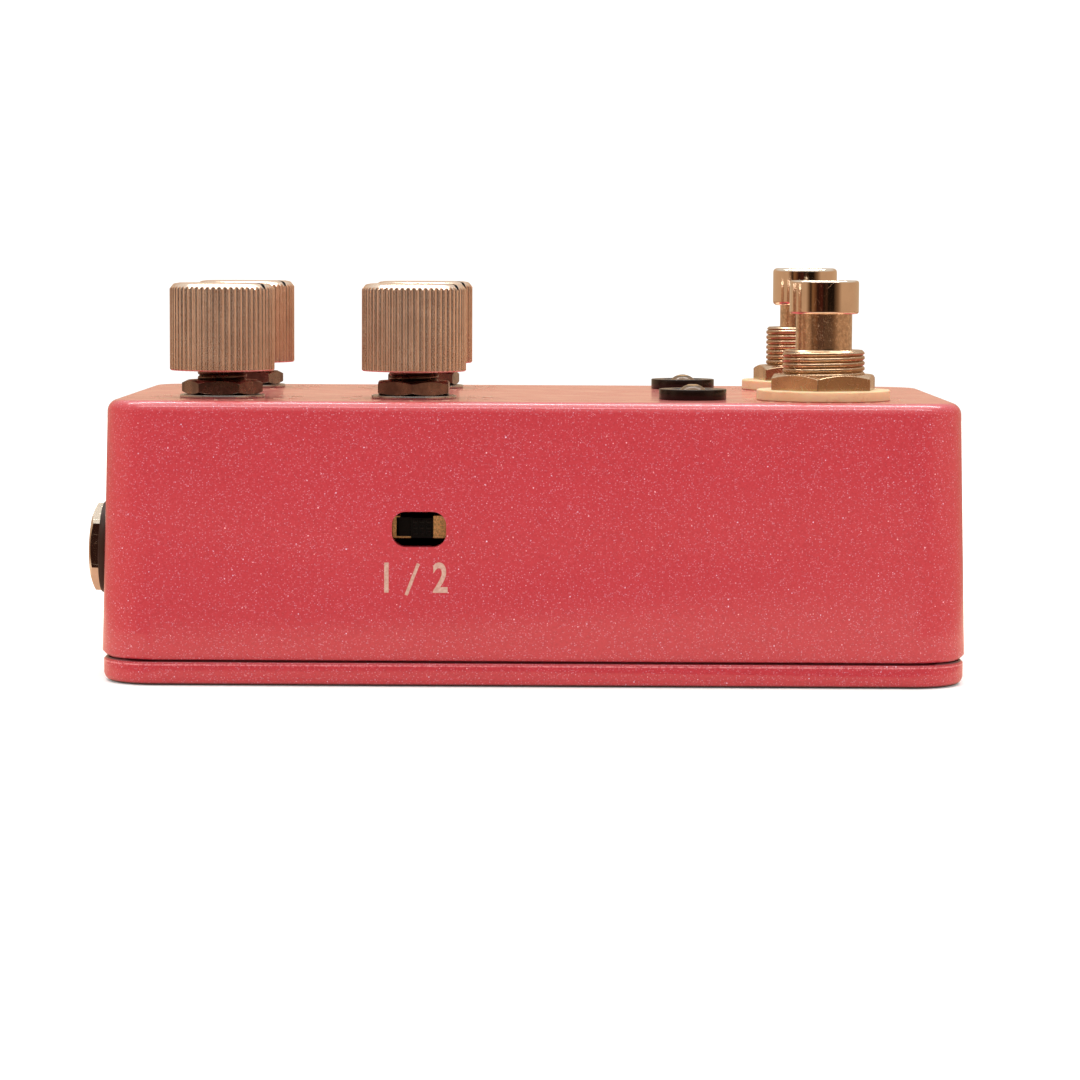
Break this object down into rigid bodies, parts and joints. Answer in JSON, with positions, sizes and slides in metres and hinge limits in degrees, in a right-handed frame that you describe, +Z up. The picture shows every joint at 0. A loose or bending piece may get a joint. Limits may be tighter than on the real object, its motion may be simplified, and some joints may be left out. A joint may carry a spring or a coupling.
{
  "type": "delay pedal",
  "caption": "Compact delay effects pedal: drafted metal case, fluted rotary knobs, stomp switches, indicator lamps, side slide switch, jacks and power socket on the end.",
  "frame": {"origin": "centre of the underside of the lid, on the surface it stands on", "axes": "+X along the case towards the stomp switches, +Z up out of the control face; the slide switch is on the -Y side and the jacks and power socket are on the -X end"},
  "size_m": [0.1246, 0.0662, 0.0582],
  "materials": {
    "sparkle_paint": null,
    "sparkle_paint_lid": "the same paint on the lid",
    "screw_steel": "zinc plated",
    "knob_aluminium": "warm grey anodised, fluted, polished bevel",
    "shaft_metal": "turned",
    "grub_steel": "blackened",
    "pot_metal": "plated can",
    "dark_hardware": "dark plated",
    "dark_hardware_nuts": "dark plated",
    "bezel_plastic": "black",
    "lamp_lens": "water clear lens",
    "button_chrome": "polished",
    "bushing_metal": "plated thread",
    "switch_base_plastic": "moulded",
    "spring_steel": "bright wire",
    "clear_nylon": "translucent natural nylon",
    "stomp_nut_chrome": "plated",
    "jack_plastic": "moulded body and bushing",
    "jack_washer_plastic": "dark washer",
    "jack_nut_metal": "nickel plated, warm",
    "contact_metal": "plated",
    "socket_plastic": "moulded",
    "slide_frame_metal": "folded and plated",
    "slide_base_laminate": "laminate",
    "slider_plastic": "black with small bumps",
    "board_laminate": "solder resist",
    "header_plastic": "moulded",
    "ribbon_plastic": "flat cable jacket",
    "chip_plastic": "moulded",
    "film_capacitor_plastic": "dipped",
    "capacitor_can": "sleeved can"
  },
  "bodies": {
    "enclosure": {"enclosure_body": "sparkle_paint", "bottom_lid": "sparkle_paint_lid", "lid_screws": "screw_steel", "pot_washers": "dark_hardware", "pot_nuts": "dark_hardware_nuts", "stomp_washers": "clear_nylon", "stomp_nuts": "stomp_nut_chrome", "jack_washers": "jack_washer_plastic", "jack_nuts": "jack_nut_metal", "power_socket": "socket_plastic", "power_socket_pin": "contact_metal", "slide_switch_frame": "slide_frame_metal", "slide_switch_base": "slide_base_laminate", "main_board": "board_laminate", "stomp_board": "board_laminate", "main_board_header": "header_plastic", "stomp_board_header": "header_plastic", "ribbon_cable": "ribbon_plastic", "delay_chip": "chip_plastic", "amplifier_chips": "chip_plastic", "film_capacitors": "film_capacitor_plastic", "electrolytic_capacitors": "capacitor_can", "voltage_regulator": "chip_plastic", "time_pot": "pot_metal", "repeats_pot": "pot_metal", "mix_pot": "pot_metal", "tone_pot": "pot_metal", "tempo_lamp_bezel": "bezel_plastic", "tempo_lamp": "lamp_lens", "status_lamp_bezel": "bezel_plastic", "status_lamp": "lamp_lens", "tap_switch_bushing": "bushing_metal", "tap_switch_base": "switch_base_plastic", "tap_return_spring": "spring_steel", "bypass_switch_bushing": "bushing_metal", "bypass_switch_base": "switch_base_plastic", "bypass_return_spring": "spring_steel", "output_jack": "jack_plastic", "output_jack_contacts": "contact_metal", "input_jack": "jack_plastic", "input_jack_contacts": "contact_metal"},
    "time_dial": {"time_knob": "knob_aluminium", "time_shaft": "shaft_metal", "time_grub_screw": "grub_steel"},
    "repeats_dial": {"repeats_knob": "knob_aluminium", "repeats_shaft": "shaft_metal", "repeats_grub_screw": "grub_steel"},
    "mix_dial": {"mix_knob": "knob_aluminium", "mix_shaft": "shaft_metal", "mix_grub_screw": "grub_steel"},
    "tone_dial": {"tone_knob": "knob_aluminium", "tone_shaft": "shaft_metal", "tone_grub_screw": "grub_steel"},
    "tap_plunger": {"tap_button": "button_chrome"},
    "bypass_plunger": {"bypass_button": "button_chrome"},
    "mode_slide": {"mode_slider": "slider_plastic"}
  },
  "joints": [
    {"name": "time_turn", "type": "hinge", "parent": "enclosure", "child": "time_dial", "pos_m": [-0.0445, -0.01905, 0.03975], "axis": [0, 0, 1], "range_deg": [-300, 0]},
    {"name": "repeats_turn", "type": "hinge", "parent": "enclosure", "child": "repeats_dial", "pos_m": [-0.0445, 0.01905, 0.03975], "axis": [0, 0, 1], "range_deg": [-300, 0]},
    {"name": "mix_turn", "type": "hinge", "parent": "enclosure", "child": "mix_dial", "pos_m": [-0.0172, -0.01905, 0.03975], "axis": [0, 0, 1], "range_deg": [-300, 0]},
    {"name": "tone_turn", "type": "hinge", "parent": "enclosure", "child": "tone_dial", "pos_m": [-0.0172, 0.01905, 0.03975], "axis": [0, 0, 1], "range_deg": [-300, 0]},
    {"name": "tap_press", "type": "slide", "parent": "enclosure", "child": "tap_plunger", "axis": [0, 0, 1], "range_m": [-0.003, 0], "stiffness_N_per_m": 1500, "springref_m": 0.004, "deforming": ["tap_return_spring"]},
    {"name": "bypass_press", "type": "slide", "parent": "enclosure", "child": "bypass_plunger", "axis": [0, 0, 1], "range_m": [-0.0025, 0], "stiffness_N_per_m": 2000, "springref_m": 0.004, "deforming": ["bypass_return_spring"]},
    {"name": "mode_travel", "type": "slide", "parent": "enclosure", "child": "mode_slide", "axis": [1, 0, 0], "range_m": [-0.002, 0]}
  ]
}
